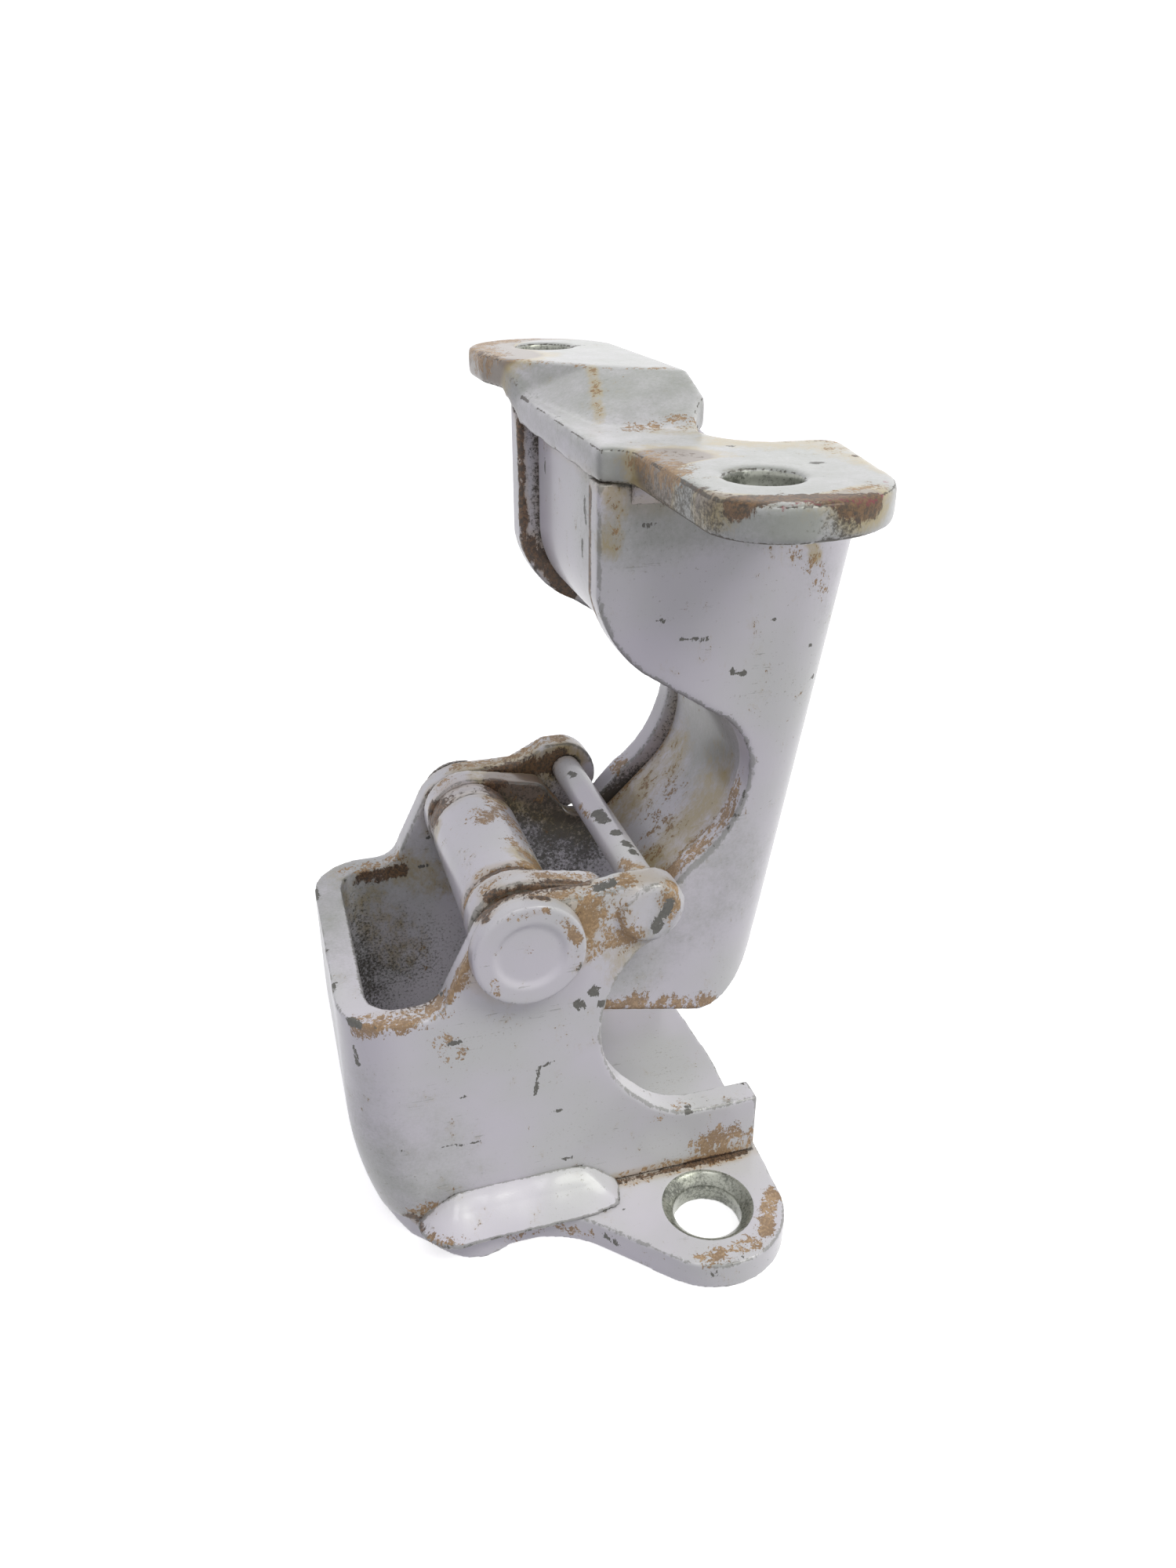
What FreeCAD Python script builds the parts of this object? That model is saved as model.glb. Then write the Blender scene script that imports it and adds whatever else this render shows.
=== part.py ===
import FreeCAD, Part
import math
import os
from FreeCAD import Vector

# Door hinge: a welded steel base bracket and a gooseneck arm turning on one pivot pin.
# Millimetres, +Z up. X runs from the closed web of the bracket to its open side, Y along the
# pivot pin. The origin is on the underside of the base plate, straight below the pivot axis.

# Base plate
PLATE_T = 5.0
LOBE_X, LOBE_Y, LOBE_R = 27.3, 34.0, 12.5      # rounded lobe round each mounting hole
BASE_HOLE_R = 5.5                              # clearance for M10
BASE_SINK_R = 7.2                              # 90 degree countersink at the top face

# Fixed U bracket, bent from sheet
SHEET_T = 4.5
WEB_X = -27.5                                  # outer face of the web
BRACKET_HALF = 25.0                            # outer half width
BEND_R = 9.0                                   # outside bend radius
TOE_Z, TOE_R = 26.0, 65.0                      # the web curves inward below TOE_Z
RIGHT_X = 39.5                                 # open end of the cheeks
LOW_Z = 45.0                                   # cheek height beside the web
WALL_Z = 16.7                                  # cheek height at the open end
BOSS_Z = 62.0                                  # cheek height over the pivot

# Pivot and stop
PIVOT_Z = 55.3
PIN_R = 4.0
HEAD_BASE_R, HEAD_FACE_R, HEAD_H = 8.7, 8.4, 2.8
DISH_R, DISH_D = 5.6, 0.5
RIVET_R, RIVET_H = 7.0, 2.0
STOP_X, STOP_Z, STOP_R = 19.0, 60.0, 2.5
CUP_R, CUP_H = 5.0, 1.1                        # pressed cup over each end of the stop pin

# Arm channel
ARM_HALF = 19.75
ARM_T = 4.5
ARM_BEND_R = 12.0
ARM_TOP_X, ARM_TOP_Z = 55.5, 118.0             # outer face of the sloping arm web
ARM_TOE_X, ARM_TOE_Z = 41.5, 33.5
NEAR_LEFT, FAR_LEFT = 12.1, 10.2               # upper left edges of the two cheeks
EYE_R = 7.4
BUSH_R = 5.0                                   # outside of the bush, bore of barrel and eyes
BUSH_BORE_R = 4.05                             # 0.05 running clearance on the pin
BUSH_LEN = 12.0
FLANGE_R, FLANGE_T = 6.4, 0.7
BARREL_R = 7.2
BARREL_Y0, BARREL_Y1 = -13.7, 10.8
WELD_RING_R = 6.7
LINER_T, LINER_EDGE_R = 3.0, 2.2
# outer face of the liner, seen from the side, from the top plate down to the stop pin
LINER_CORNERS = ((12.9, 131.0), (12.9, 99.6), (46.4, 76.7), (21.3, 52.2))
LINER_BENDS = (14.0, 16.1)                     # bend radii at its two middle corners

# Arm top plate, joggled up from the near lobe to the far lobe
TOP_T = 4.5
NEAR_Z, FAR_Z = 124.3, 130.2                   # upper faces of the two lobes
NEAR_HOLE = (25.5, -39.6)
FAR_HOLE = (20.2, 36.6)
TOP_HOLE_R = 4.5                               # clearance for M8
FAR_LOBE_R = 12.5
# joggle creases from left to right: (x, y, z) on the lower crease, (x, y) on the upper crease
JOGGLE = (((0.0, 15.0, 126.2), (0.0, 23.0)), ((10.5, 15.0, 125.9), (9.5, 22.0)),
          ((16.5, -6.0, 124.6), (20.5, 11.0)), ((32.0, -12.5, 124.3), (32.0, 3.0)),
          ((60.0, -12.5, 124.3), (60.0, 3.0)))

ARM_INNER = ARM_HALF - ARM_T
BRACKET_INNER = BRACKET_HALF - SHEET_T
Y_DIR = Vector(0, 1, 0)


def outline(steps, place):
    """Closed face from steps: a point ends a line, a (via, end) pair ends an arc."""
    edges, here = [], steps[0]
    for step in steps[1:]:
        if isinstance(step[0], tuple):
            via, end = step
            edges.append(Part.Arc(place(here), place(via), place(end)).toShape())
        else:
            end = step
            edges.append(Part.LineSegment(place(here), place(end)).toShape())
        here = end
    if here != steps[0]:
        edges.append(Part.LineSegment(place(here), place(steps[0])).toShape())
    return Part.Face(Part.Wire(edges))


def side_prism(steps, y0, y1):
    """Solid from an outline drawn in the XZ plane, running from y0 to y1."""
    return outline(steps, lambda p: Vector(p[0], y0, p[1])).extrude(Vector(0, y1 - y0, 0))


def plan_prism(steps, z0, z1):
    """Solid from an outline drawn in the XY plane, running from z0 to z1."""
    return outline(steps, lambda p: Vector(p[0], p[1], z0)).extrude(Vector(0, 0, z1 - z0))


def rod(radius, y0, y1, x=0.0, z=PIVOT_Z):
    """Cylinder along Y."""
    return Part.makeCylinder(radius, y1 - y0, Vector(x, y0, z), Y_DIR)


def mirrored(shape):
    """The same shape on the other side of the XZ plane."""
    return shape.mirror(Vector(0, 0, 0), Y_DIR)


def base_plate():
    """Pressed plate with a lobe and countersunk hole on each side and a wavy waist."""
    diagonal = LOBE_R * math.sqrt(0.5)
    half = plan_prism([(41.6, 0.0), (LOBE_X + LOBE_R, -LOBE_Y),
                       ((LOBE_X, -LOBE_Y - LOBE_R), (LOBE_X - diagonal, -LOBE_Y - diagonal)), (8.5, -32.6),
                       ((1.0, -28.8), (-5.0, -28.6)), ((-10.6, -29.6), (-14.4, -27.6)), (-19.8, -21.8),
                       ((-24.0, -11.2), (-25.4, 0.0))], 0, PLATE_T)
    plate = half.fuse(mirrored(half)).removeSplitter()
    sink = BASE_SINK_R - BASE_HOLE_R
    for y in (-LOBE_Y, LOBE_Y):
        plate = plate.cut(Part.makeCylinder(BASE_HOLE_R, PLATE_T, Vector(LOBE_X, y, 0)))
        plate = plate.cut(Part.makeCone(BASE_HOLE_R, BASE_SINK_R, sink, Vector(LOBE_X, y, PLATE_T - sink)))
    return plate


def channel_block(half, inset, toe_r):
    """Solid block whose left side follows the bracket web, with rounded left corners."""
    left = WEB_X + inset
    toe_centre = WEB_X + TOE_R
    drop = TOE_Z - PLATE_T
    foot_x = toe_centre - math.sqrt(toe_r ** 2 - drop ** 2)
    mid_x = toe_centre - math.sqrt(toe_r ** 2 - (drop / 2) ** 2)
    steps = [(left, 70.0), (left, TOE_Z), ((mid_x, TOE_Z - drop / 2), (foot_x, PLATE_T)),
             (RIGHT_X, PLATE_T), (RIGHT_X, 70.0)]
    block = side_prism(steps, -half, half)
    corner = [e for e in block.Edges
              if e.BoundBox.XMax < foot_x + 0.1 and abs(abs(e.BoundBox.Center.y) - half) < 0.01]
    return block.makeFillet(BEND_R - inset, corner)


def cheek_outline(lobe_top):
    """Side outline of the bracket cheeks; lobe_top is the height over the stop pin."""
    return [(WEB_X - 1, 4.0), (WEB_X - 1, LOW_Z), (-16.0, LOW_Z), ((-13.4, 45.9), (-11.6, 48.6)),
            (-8.0, 55.8), ((-5.0, 60.0), (0.2, BOSS_Z)), (9.5, BOSS_Z), (15.5, lobe_top),
            (19.5, lobe_top), ((24.4, 59.6), (22.6, 53.9)), (18.2, 51.5),
            ((11.7, 38.0), (18.4, 22.0)), ((22.6, 18.5), (30.0, WALL_Z)),
            (RIGHT_X + 1, WALL_Z), (RIGHT_X + 1, 4.0)]


def bracket_channel():
    """U bracket: web and two cheeks bent from one sheet, cups pressed over the stop pin."""
    shell = channel_block(BRACKET_HALF, 0, TOE_R).cut(channel_block(BRACKET_INNER, SHEET_T, TOE_R - SHEET_T))
    shell = shell.cut(Part.makeBox(10, 2 * BRACKET_INNER, 80, Vector(RIGHT_X - 5, -BRACKET_INNER, 0)))
    near = shell.common(side_prism(cheek_outline(62.8), -BRACKET_HALF - 1, 0))
    far = shell.common(side_prism(cheek_outline(65.0), 0, BRACKET_HALF + 1))
    body = near.fuse(far).removeSplitter()
    for y0, y1 in ((-BRACKET_HALF - CUP_H, -BRACKET_HALF + 1), (BRACKET_HALF - 1, BRACKET_HALF + CUP_H)):
        cup = rod(CUP_R, y0, y1, 19.0, 57.8)
        rim = [e for e in cup.Edges if abs(abs(e.BoundBox.Center.y) - BRACKET_HALF - CUP_H) < 0.01
               and e.BoundBox.XLength > CUP_R]
        body = body.fuse(cup.makeFillet(0.9, rim))
    body = body.removeSplitter()
    body = body.cut(rod(PIN_R, -30, 30))
    return body.cut(rod(STOP_R, -BRACKET_HALF + 0.8, BRACKET_HALF - 0.8, STOP_X, STOP_Z))


def weld_bead(x0, x1, rise, run):
    """Fillet weld between a cheek and the base plate, with rounded ends."""
    y, z = -BRACKET_HALF, PLATE_T
    foot, top = Vector(x0, y - run, z), Vector(x0, y, z + rise)
    crown = Vector(x0, y - 0.62 * run, z + 0.62 * rise)
    root = Vector(x0, y, z)
    section = Part.Face(Part.Wire([Part.LineSegment(root, foot).toShape(),
                                   Part.Arc(foot, crown, top).toShape(),
                                   Part.LineSegment(top, root).toShape()]))
    bead = section.extrude(Vector(x1 - x0, 0, 0))
    end = section.copy()
    end.translate(Vector(x1 - x0, 0, 0))
    bead = bead.fuse(end.revolve(Vector(x1, y, z), Vector(0, 0, 1), 90))
    bead = bead.fuse(section.revolve(Vector(x0, y, z), Vector(0, 0, 1), -90))
    return bead.removeSplitter()


def pivot_pin():
    """Headed pin: low dished head on the near side, riveted over on the far side."""
    y0, y1 = -BRACKET_HALF, BRACKET_HALF
    pin = rod(PIN_R, y0, y1)
    head = Part.makeCone(HEAD_FACE_R, HEAD_BASE_R, HEAD_H, Vector(0, y0 - HEAD_H, PIVOT_Z), Y_DIR)
    face = [e for e in head.Edges if e.BoundBox.YMax < y0 - HEAD_H + 0.01]
    head = head.makeFillet(0.5, face)
    head = head.cut(Part.makeCone(DISH_R, DISH_R - 1.0, DISH_D, Vector(0, y0 - HEAD_H, PIVOT_Z), Y_DIR))
    rivet = Part.makeCone(RIVET_R, RIVET_R - 2.0, RIVET_H, Vector(0, y1, PIVOT_Z), Y_DIR)
    return pin.fuse([head, rivet]).removeSplitter()


def stop_pin():
    """Plain pin across the cheeks that limits the swing of the arm."""
    return rod(STOP_R, -BRACKET_HALF + 0.8, BRACKET_HALF - 0.8, STOP_X, STOP_Z)


def arm_outline(left_x):
    """Side outline of an arm cheek: throat, eye, foot and neck; left_x is its upper left edge."""
    return [(left_x, 131.0), (left_x, 104.5), ((left_x + 2.0, 99.0), (18.9, 93.3)), (29.6, 86.2),
            ((35.4, 80.0), (35.3, 71.8)), ((32.5, 66.0), (27.4, 61.0)), (23.2, 56.4),
            ((20.2, 52.9), (16.8, 55.2)), (14.4, 58.3), ((13.4, 59.8), (11.8, 60.6)),
            (1.0, PIVOT_Z + EYE_R), ((-EYE_R, PIVOT_Z), (-5.0, 49.8)), (2.0, 42.6),
            ((7.0, 38.8), (13.7, 36.7)), (30.0, 33.2), ((35.6, 35.0), (41.0, 44.5)),
            (50.0, 60.0), (62.0, 110.0), (62.0, 131.0)]


def arm_block(half, inset):
    """Block whose right side is the sloping web plane, moved inward by inset."""
    slope = math.atan2(ARM_TOP_X - ARM_TOE_X, ARM_TOP_Z - ARM_TOE_Z)
    shift = inset / math.cos(slope)

    def web_x(z):
        return ARM_TOE_X + (z - ARM_TOE_Z) * math.tan(slope) - shift

    block = side_prism([(-20.0, 20.0), (web_x(20.0), 20.0), (web_x(140.0), 140.0), (-20.0, 140.0)], -half, half)
    corner = [e for e in block.Edges if e.BoundBox.XMin > 30 and abs(abs(e.BoundBox.Center.y) - half) < 0.01
              and e.BoundBox.ZLength > 50]
    return block.makeFillet(ARM_BEND_R - inset, corner)


def joggle_solid(rise=0.0):
    """The joggled sheet as flat facets; rise thickens it upward to cut away what stands above."""
    upper = [[Vector(low[0], -62.0, NEAR_Z), Vector(low[0], -18.0, NEAR_Z), Vector(*low),
              Vector(high[0], high[1], FAR_Z), Vector(high[0], 62.0, FAR_Z)] for low, high in JOGGLE]
    lower = [[p - Vector(0, 0, TOP_T) for p in row] for row in upper]
    upper = [[p + Vector(0, 0, rise) for p in row] for row in upper]
    facets = []
    for grid in (upper, lower):
        for row, after in zip(grid, grid[1:]):
            for j in range(len(row) - 1):
                facets.append((row[j], row[j + 1], after[j + 1]))
                facets.append((row[j], after[j + 1], after[j]))
    for k in (0, -1):
        facets.append(upper[k] + lower[k][::-1])
        for i in range(len(upper) - 1):
            facets.append((upper[i][k], upper[i + 1][k], lower[i + 1][k], lower[i][k]))
    faces = [Part.Face(Part.makePolygon(list(f) + [f[0]])) for f in facets]
    solid = Part.Solid(Part.makeShell(faces)).removeSplitter()
    if solid.Volume < 0:
        solid.reverse()
    return solid


def arm_top_plate():
    """Joggled mounting plate with one drilled lobe on each side."""
    fx, fy = FAR_HOLE
    r = FAR_LOBE_R
    steps = [(12.2, -19.6), (10.3, 16.0), ((9.4, 21.0), (fx - r, 29.0)), (fx - r, fy),
             ((fx, fy + r), (fx + r, fy)), (fx + r, -4.0), ((30.9, -17.0), (35.6, -20.6)),
             (41.6, -20.8), ((43.2, -21.8), (43.8, -24.0)), (40.6, -39.8),
             ((35.2, -50.4), (26.5, -53.4)), ((18.6, -51.6), (15.8, -44.0)), (15.8, -23.5),
             ((14.8, -20.6), (12.2, -19.6))]
    plate = joggle_solid().common(plan_prism(steps, 100, 140))
    for x, y in (NEAR_HOLE, FAR_HOLE):
        plate = plate.cut(Part.makeCylinder(TOP_HOLE_R, 40, Vector(x, y, 100)))
    return plate


def arm_channel():
    """Gooseneck channel: two cheeks and the outer web bent from one sheet."""
    shell = arm_block(ARM_HALF, 0).cut(arm_block(ARM_INNER, ARM_T))
    shell = shell.common(side_prism(arm_outline(NEAR_LEFT), -30, 0).fuse(side_prism(arm_outline(FAR_LEFT), 0, 30)))
    near_top = [(40.0, 119.8), (40.0, 140.0), (70.0, 140.0), (70.0, 113.0), (54.5, 113.0)]
    far_top = [(33.0, 125.7), (33.0, 140.0), (70.0, 140.0), (70.0, 113.0), (54.5, 113.0), (41.0, 118.5)]
    shell = shell.cut(side_prism(near_top, -30, 0)).cut(side_prism(far_top, 0, 30))
    shell = shell.cut(joggle_solid(30.0))
    return shell.cut(rod(BUSH_R, -30, 30))


def arm_liner():
    """Inner strip closing the throat side of the arm, its long edges rolled inward."""
    block = side_prism(LINER_CORNERS + ((70.0, 30.0), (70.0, 131.0)), -ARM_INNER, ARM_INNER)
    for (x, z), radius in zip(LINER_CORNERS[1:3], LINER_BENDS):
        bend = [e for e in block.Edges if e.BoundBox.YLength > ARM_INNER
                and abs(e.BoundBox.Center.x - x) < 0.1 and abs(e.BoundBox.Center.z - z) < 0.1]
        block = block.makeFillet(radius, bend)
    side = [f for f in block.Faces if f.BoundBox.YMax < 0.01 - ARM_INNER][0]
    hollow = Part.Face(side.makeOffset2D(-LINER_T).Wires[0]).extrude(Vector(0, 2 * ARM_INNER, 0))
    rolled = [e for e in block.Edges if e.BoundBox.YLength < 0.01 and e.BoundBox.XMax < 40]
    block = block.makeFillet(LINER_EDGE_R, rolled)
    keep = [(8.0, 132.0), (30.0, 132.0), (30.0, 95.0), (44.0, 84.0), (44.0, 66.0), (31.0, 55.0),
            (25.5, 48.6), (18.0, 54.8), (8.0, 95.0)]
    strip = block.cut(hollow).common(side_prism(keep, -30, 30)).common(arm_block(ARM_INNER, ARM_T))
    return strip.cut(joggle_solid(30.0))


def arm_barrel():
    """Spacer tube between the two eyes."""
    return rod(BARREL_R, BARREL_Y0, BARREL_Y1).cut(rod(BUSH_R, -30, 30))


def barrel_weld(y0, y1):
    """Ring of weld between one end of the barrel and the eye beside it."""
    return rod(WELD_RING_R, y0, y1).cut(rod(BUSH_R, -30, 30))


def pivot_bush():
    """Flanged bearing bush of the near eye; the flange keeps the arm off the bracket cheek."""
    sleeve = rod(BUSH_R, -ARM_HALF, -ARM_HALF + BUSH_LEN)
    flange = rod(FLANGE_R, -ARM_HALF - FLANGE_T, -ARM_HALF)
    return sleeve.fuse(flange).removeSplitter().cut(rod(BUSH_BORE_R, -30, 30))


def plate_weld():
    """Fillet weld in the corner between the near arm cheek and the plate above it."""
    z, y, leg = NEAR_Z - TOP_T, -ARM_HALF, 3.2
    root, out, down = Vector(16.5, y, z), Vector(16.5, y - leg, z), Vector(16.5, y, z - leg)
    mid = Vector(16.5, y - 0.38 * leg, z - 0.38 * leg)
    section = Part.Face(Part.Wire([Part.LineSegment(root, out).toShape(), Part.Arc(out, mid, down).toShape(),
                                   Part.LineSegment(down, root).toShape()]))
    return section.extrude(Vector(20.0, 0, 0))


def all_parts():
    """Every piece of the hinge by name, the arm in its closed position."""
    base_weld = weld_bead(-12.5, 8.0, 5.3, 5.0)
    bush = pivot_bush()
    near_weld = plate_weld()
    far_weld = mirrored(near_weld)
    far_weld.translate(Vector(4.0, 0, FAR_Z - NEAR_Z))
    return {
        "base_plate": base_plate(),
        "bracket_channel": bracket_channel(),
        "base_weld_near": base_weld,
        "base_weld_far": mirrored(base_weld),
        "pivot_pin": pivot_pin(),
        "stop_pin": stop_pin(),
        "arm_channel": arm_channel(),
        "arm_liner": arm_liner(),
        "arm_top_plate": arm_top_plate(),
        "arm_barrel": arm_barrel(),
        "barrel_weld_near": barrel_weld(-ARM_INNER, BARREL_Y0),
        "barrel_weld_far": barrel_weld(BARREL_Y1, ARM_INNER),
        "pivot_bush_near": bush,
        "pivot_bush_far": mirrored(bush),
        "plate_weld_near": near_weld,
        "plate_weld_far": far_weld,
    }


os.makedirs("parts", exist_ok=True)
for name, shape in all_parts().items():
    shape.exportStep("parts/" + name + ".step")
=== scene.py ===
import math

import bmesh
import bpy
import numpy as np
from mathutils import Matrix, Vector, noise
from mathutils.bvhtree import BVHTree


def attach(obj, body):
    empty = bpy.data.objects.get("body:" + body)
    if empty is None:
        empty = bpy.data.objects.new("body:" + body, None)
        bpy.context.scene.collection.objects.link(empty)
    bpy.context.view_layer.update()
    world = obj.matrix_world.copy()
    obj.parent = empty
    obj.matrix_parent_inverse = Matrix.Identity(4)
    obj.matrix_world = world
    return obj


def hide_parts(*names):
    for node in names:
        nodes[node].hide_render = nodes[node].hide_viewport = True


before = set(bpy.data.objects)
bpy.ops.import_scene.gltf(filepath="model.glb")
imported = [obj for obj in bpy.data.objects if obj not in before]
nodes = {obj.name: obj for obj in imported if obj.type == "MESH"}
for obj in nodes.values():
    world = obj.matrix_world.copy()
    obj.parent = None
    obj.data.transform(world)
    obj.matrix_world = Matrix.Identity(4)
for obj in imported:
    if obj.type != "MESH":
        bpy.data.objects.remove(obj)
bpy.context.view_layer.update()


# ---- Base plate -------------------------------------------------------------------------
# A 5 mm steel plate pressed to shape, with a lobe and a countersunk hole at each end. It was
# welded to the bracket and the whole hinge then sprayed with ochre primer and white body paint.

MM = 0.001


def srgb(code):
    """Linear colour from an sRGB hex value."""
    parts = [int(code[i:i + 2], 16) / 255 for i in (1, 3, 5)]
    return tuple(c / 12.92 if c <= 0.04045 else ((c + 0.055) / 1.055) ** 2.4 for c in parts) + (1.0,)


def add(tree, kind, settings=None, **links):
    """Adds one shader node; settings are attributes or input values, links are input=source."""
    made = tree.nodes.new("ShaderNode" + kind)
    for key, value in (settings or {}).items():
        if isinstance(key, str) and hasattr(made, key):
            setattr(made, key, value)
        else:
            made.inputs[key].default_value = value
    for key, source in links.items():
        name = int(key[2:]) if key.startswith("in") and key[2:].isdigit() else key.replace("_", " ")
        tree.links.new(source, made.inputs[name])
    return made


def sheltered(points, normals, tree, reach=14 * MM):
    """How far each point is shut in by the metal round it, from 0 in the open to 1 in a pocket."""
    count, golden_angle = 14, 2.399963
    rays = []
    for k in range(count):
        z = 1 - (k + 0.5) / count
        angle = k * golden_angle
        across = math.sqrt(1 - z * z)
        rays.append(Vector((math.cos(angle) * across, math.sin(angle) * across, z)))
    found = np.zeros(len(points), np.float32)
    for i, (p, n) in enumerate(zip(points, normals)):
        turn = Vector((0, 0, 1)).rotation_difference(n)
        start = p + n * 0.3 * MM
        total = 0.0
        for ray in rays:
            hit = tree.ray_cast(start, turn @ ray, reach)
            if hit[0] is not None:
                total += 1 - hit[3] / reach
        found[i] = total / len(rays)
    return found


def put(mesh, name, values):
    """Stores one number per vertex as an attribute."""
    attribute = mesh.attributes.get(name) or mesh.attributes.new(name, "FLOAT", "POINT")
    attribute.data.foreach_set("value", np.asarray(values, np.float32))


def merged_copy(node):
    """The node's mesh with its loose triangles joined."""
    mesh = nodes[node].data.copy()
    skin = bmesh.new()
    skin.from_mesh(mesh)
    bmesh.ops.remove_doubles(skin, verts=skin.verts, dist=1e-6)
    skin.to_mesh(mesh)
    skin.free()
    return mesh


def surroundings():
    """Search tree of all the metal of the hinge at rest."""
    whole = bmesh.new()
    for node in nodes.values():
        whole.from_mesh(node.data)
    tree = BVHTree.FromBMesh(whole)
    whole.free()
    return tree


def neighbours(name):
    """Search tree of every piece but this one and the base welds, which fill their seams."""
    others = bmesh.new()
    for node, item in nodes.items():
        if node != name and not node.startswith("base_weld"):
            others.from_mesh(item.data)
    tree = BVHTree.FromBMesh(others)
    others.free()
    return tree


all_metal = surroundings()


def worn_piece(name, node, body, grain=0.45, rounds=5, shape=None):
    """A piece with the CAD node's form, in an even skin of small faces, its edges rounded by paint."""
    start = bpy.data.objects.new(name + "_start", merged_copy(node))
    bpy.context.scene.collection.objects.link(start)
    skin = start.modifiers.new("skin", "REMESH")
    skin.mode, skin.voxel_size = "VOXEL", grain * MM
    true = start.modifiers.new("true", "SHRINKWRAP")
    true.target = nodes[node]
    soft = start.modifiers.new("soft", "SMOOTH")
    soft.factor, soft.iterations = 0.5, rounds
    bpy.context.view_layer.update()
    mesh = bpy.data.meshes.new_from_object(start.evaluated_get(bpy.context.evaluated_depsgraph_get()))
    bpy.data.objects.remove(start)
    mesh.name = name
    if shape:
        shape(mesh)
    mesh.polygons.foreach_set("use_smooth", [True] * len(mesh.polygons))
    points = [v.co.copy() for v in mesh.vertices]
    normals = [v.normal.copy() for v in mesh.vertices]
    # how shut in each point is; the paint darkens with it, as grime and painted shade in the pockets
    put(mesh, "shelter", sheltered(points, normals, all_metal))
    others = neighbours(node)
    reach = 4 * MM
    near = [others.find_nearest(p, reach)[3] for p in points]
    put(mesh, "seam", [0.0 if d is None else 1 - d / reach for d in near])
    put(mesh, "edge", edge_field(mesh))
    piece = bpy.data.objects.new(name, mesh)
    bpy.context.scene.collection.objects.link(piece)
    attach(piece, body)
    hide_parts(node)
    return piece


def edge_field(mesh):
    """Curvature at each vertex: above 0 on outer edges, below 0 in inner corners."""
    n = len(mesh.vertices)
    co = np.zeros(n * 3)
    no = np.zeros(n * 3)
    mesh.vertices.foreach_get("co", co)
    mesh.vertices.foreach_get("normal", no)
    co, no = co.reshape(-1, 3), no.reshape(-1, 3)
    ends = np.zeros(len(mesh.edges) * 2, np.int64)
    mesh.edges.foreach_get("vertices", ends)
    a, b = ends[0::2], ends[1::2]
    total = np.zeros((n, 3))
    count = np.zeros(n)
    for p, q in ((a, b), (b, a)):
        np.add.at(total, p, co[q] - co[p])
        np.add.at(count, p, 1)
    mean = total / np.maximum(count, 1)[:, None]
    curve = -(mean * no).sum(1) / MM * 12
    for _ in range(2):
        spread = np.zeros(n)
        for p, q in ((a, b), (b, a)):
            np.add.at(spread, p, curve[q])
        curve = 0.5 * curve + 0.5 * spread / np.maximum(count, 1)
    return np.clip(curve, -1, 1)


def mark(piece, field, *strokes, clear=()):
    """Marks worn places on a piece. A stroke in millimetres is a start, an end, a radius and a strength.
    Nothing is marked inside a clear disc, given by its middle x, y and its radius."""
    mesh = piece.data
    co = np.zeros(len(mesh.vertices) * 3)
    mesh.vertices.foreach_get("co", co)
    co = co.reshape(-1, 3) / MM
    values = np.zeros(len(co))
    for start, end, radius, strength in strokes:
        start, along = np.array(start), np.array(end) - np.array(start)
        share = np.clip(((co - start) @ along) / max(along @ along, 1e-9), 0, 1)
        d = np.linalg.norm(co - start - share[:, None] * along, axis=1)
        values = np.maximum(values, strength * np.clip(1.5 - d / radius, 0, 1))
    for x, y, radius in clear:
        values *= np.clip(np.hypot(co[:, 0] - x, co[:, 1] - y) - radius, 0, 1)
    put(mesh, field, values)


def soil(piece, *pockets):
    """Grime on the faces that look into a pocket. A pocket is its middle, its radius and a strength."""
    mesh = piece.data
    co = np.zeros(len(mesh.vertices) * 3)
    no = np.zeros(len(mesh.vertices) * 3)
    mesh.vertices.foreach_get("co", co)
    mesh.vertices.foreach_get("normal", no)
    co, no = co.reshape(-1, 3) / MM, no.reshape(-1, 3)
    values = np.zeros(len(co))
    for middle, radius, strength in pockets:
        way = np.array(middle) - co
        d = np.linalg.norm(way, axis=1)
        facing = np.clip((way * no).sum(1) / np.maximum(d, 1e-6) * 3, 0, 1)
        values = np.maximum(values, strength * facing * np.clip(1.6 - d / radius, 0, 1))
    put(mesh, "grimy", values)


FIELDS = ("bare", "rusty", "chipped", "dust_and_shade", "grimy", "stained", "steel", "red", "shelter", "seam",
          "edge")


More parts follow.
